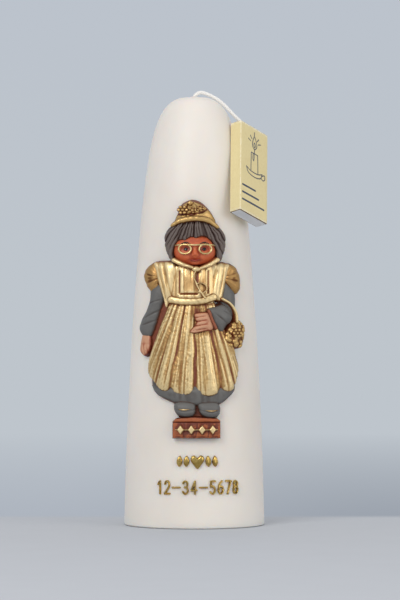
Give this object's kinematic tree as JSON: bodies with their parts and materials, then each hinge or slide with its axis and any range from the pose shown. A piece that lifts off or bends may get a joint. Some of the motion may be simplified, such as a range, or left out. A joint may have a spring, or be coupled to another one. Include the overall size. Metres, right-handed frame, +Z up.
{
  "type": "celebration candle",
  "caption": "Round-topped tapered wax candle with a painted relief figure, raised gold numerals and a slim matchbox hanging from its wick.",
  "frame": {"origin": "middle of the candle's flat base", "axes": "+Z up the candle, -Y out of its decorated front, +X to the right as seen from the front"},
  "size_m": [0.0841, 0.0872, 0.2534],
  "materials": {
    "wax": "smooth white wax with a faint sheen",
    "wick_cotton": "braided waxed cotton",
    "printed_card": "pale yellow printed card",
    "white_card": "uncoated white card",
    "striker": "gritty striking surface",
    "match_wood": "plain splint with a dipped head",
    "gold_paint": "gold paint rubbed over red-brown wax",
    "grey_paint": "satin slate grey paint",
    "clay_paint": "satin terracotta paint",
    "lettering_gold": "gold wax strip"
  },
  "bodies": {
    "candle": {"apron": "gold_paint", "bib": "gold_paint", "candle_body": "wax", "collar_knot": "gold_paint", "collar_left": "gold_paint", "collar_right": "gold_paint", "cuff_right": "clay_paint", "dash_1": "lettering_gold", "dash_2": "lettering_gold", "face": "clay_paint", "forearm_right": "grey_paint", "hair": "grey_paint", "hand_left": "clay_paint", "hand_right": "clay_paint", "handbag": "gold_paint", "handbag_clasp": "gold_paint", "handbag_strap": "gold_paint", "hat_brim": "gold_paint", "hat_crown": "gold_paint", "hat_flower_1": "gold_paint", "hat_flower_2": "gold_paint", "hat_flower_3": "gold_paint", "numeral_1": "lettering_gold", "numeral_2": "lettering_gold", "numeral_3": "lettering_gold", "numeral_4": "lettering_gold", "numeral_5": "lettering_gold", "numeral_6": "lettering_gold", "numeral_7": "lettering_gold", "numeral_8": "lettering_gold", "ornament_heart": "lettering_gold", "ornament_leaf_1": "lettering_gold", "ornament_leaf_2": "lettering_gold", "ornament_leaf_3": "lettering_gold", "ornament_leaf_4": "lettering_gold", "plinth": "clay_paint", "plinth_ornament": "gold_paint", "puff_sleeve_left": "gold_paint", "puff_sleeve_right": "gold_paint", "ribbon": "gold_paint", "shoe_left": "grey_paint", "shoe_right": "grey_paint", "shoulder_frill_left": "gold_paint", "shoulder_frill_right": "gold_paint", "skirt_hem": "grey_paint", "sleeve_left": "grey_paint", "spectacles": "gold_paint", "upper_sleeve_right": "grey_paint", "waistband": "gold_paint", "wick_core": "wick_cotton", "wick_tail": "wick_cotton"},
    "matchbox": {"matchbox_sleeve": "printed_card", "matchbox_striker_strip": "striker"},
    "tray": {"matchbox_tray": "white_card", "match_1": "match_wood", "match_2": "match_wood", "match_3": "match_wood", "match_4": "match_wood", "match_5": "match_wood"}
  },
  "joints": [
    {"name": "matchbox_swing", "type": "hinge", "parent": "candle", "child": "matchbox", "pos_m": [0.03208, -0.00267, 0.2308], "axis": [-0.6109, -0.7262, 0.3154], "range_deg": [0, 60]},
    {"name": "tray_slide", "type": "slide", "parent": "matchbox", "child": "tray", "axis": [-0.0129, -0.3891, -0.9211], "range_m": [0, 0.045]}
  ]
}
